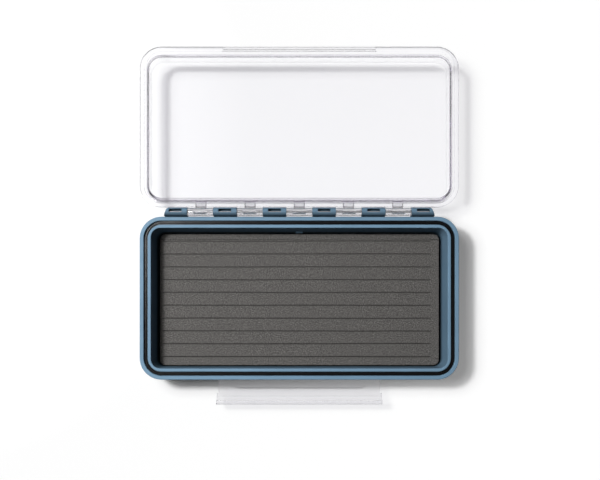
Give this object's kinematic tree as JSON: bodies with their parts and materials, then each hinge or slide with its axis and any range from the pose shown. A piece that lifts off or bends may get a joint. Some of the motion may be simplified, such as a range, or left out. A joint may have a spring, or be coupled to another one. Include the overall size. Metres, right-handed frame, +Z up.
{
  "type": "fly box",
  "caption": "Flat pocket fly box: a gasketed tray with slit foam, a clear lid on a long pinned hinge folded open level, and a clear snap latch across the front.",
  "frame": {"origin": "centre of the tray's underside", "axes": "+Z up out of the tray's mouth, +Y from the tray to the hinge and the open lid, +X along the hinge"},
  "size_m": [0.19, 0.2142, 0.0304],
  "materials": {
    "tray_plastic": "satin moulded slate blue",
    "gasket_rubber": "matte black silicone",
    "adhesive_film": "translucent transfer tape",
    "foam": "closed-cell foam, warm grey, fine speckle",
    "pin_steel": "drawn stainless wire",
    "clear_plastic": "clear polycarbonate"
  },
  "bodies": {
    "tray": {"base_tray": "tray_plastic", "rim_gasket": "gasket_rubber", "foam_adhesive": "adhesive_film", "foam_insert": "foam", "hinge_pin": "pin_steel", "latch_pin": "pin_steel"},
    "lid": {"lid": "clear_plastic"},
    "latch": {"latch": "clear_plastic"}
  },
  "joints": [
    {"name": "lid_hinge", "type": "hinge", "parent": "tray", "child": "lid", "pos_m": [0, 0.05115, 0.0281], "axis": [1, 0, 0], "range_deg": [0, 180]},
    {"name": "latch_hinge", "type": "hinge", "parent": "tray", "child": "latch", "pos_m": [0, -0.0462, 0.015], "axis": [-1, 0, 0], "range_deg": [0, 90]}
  ]
}
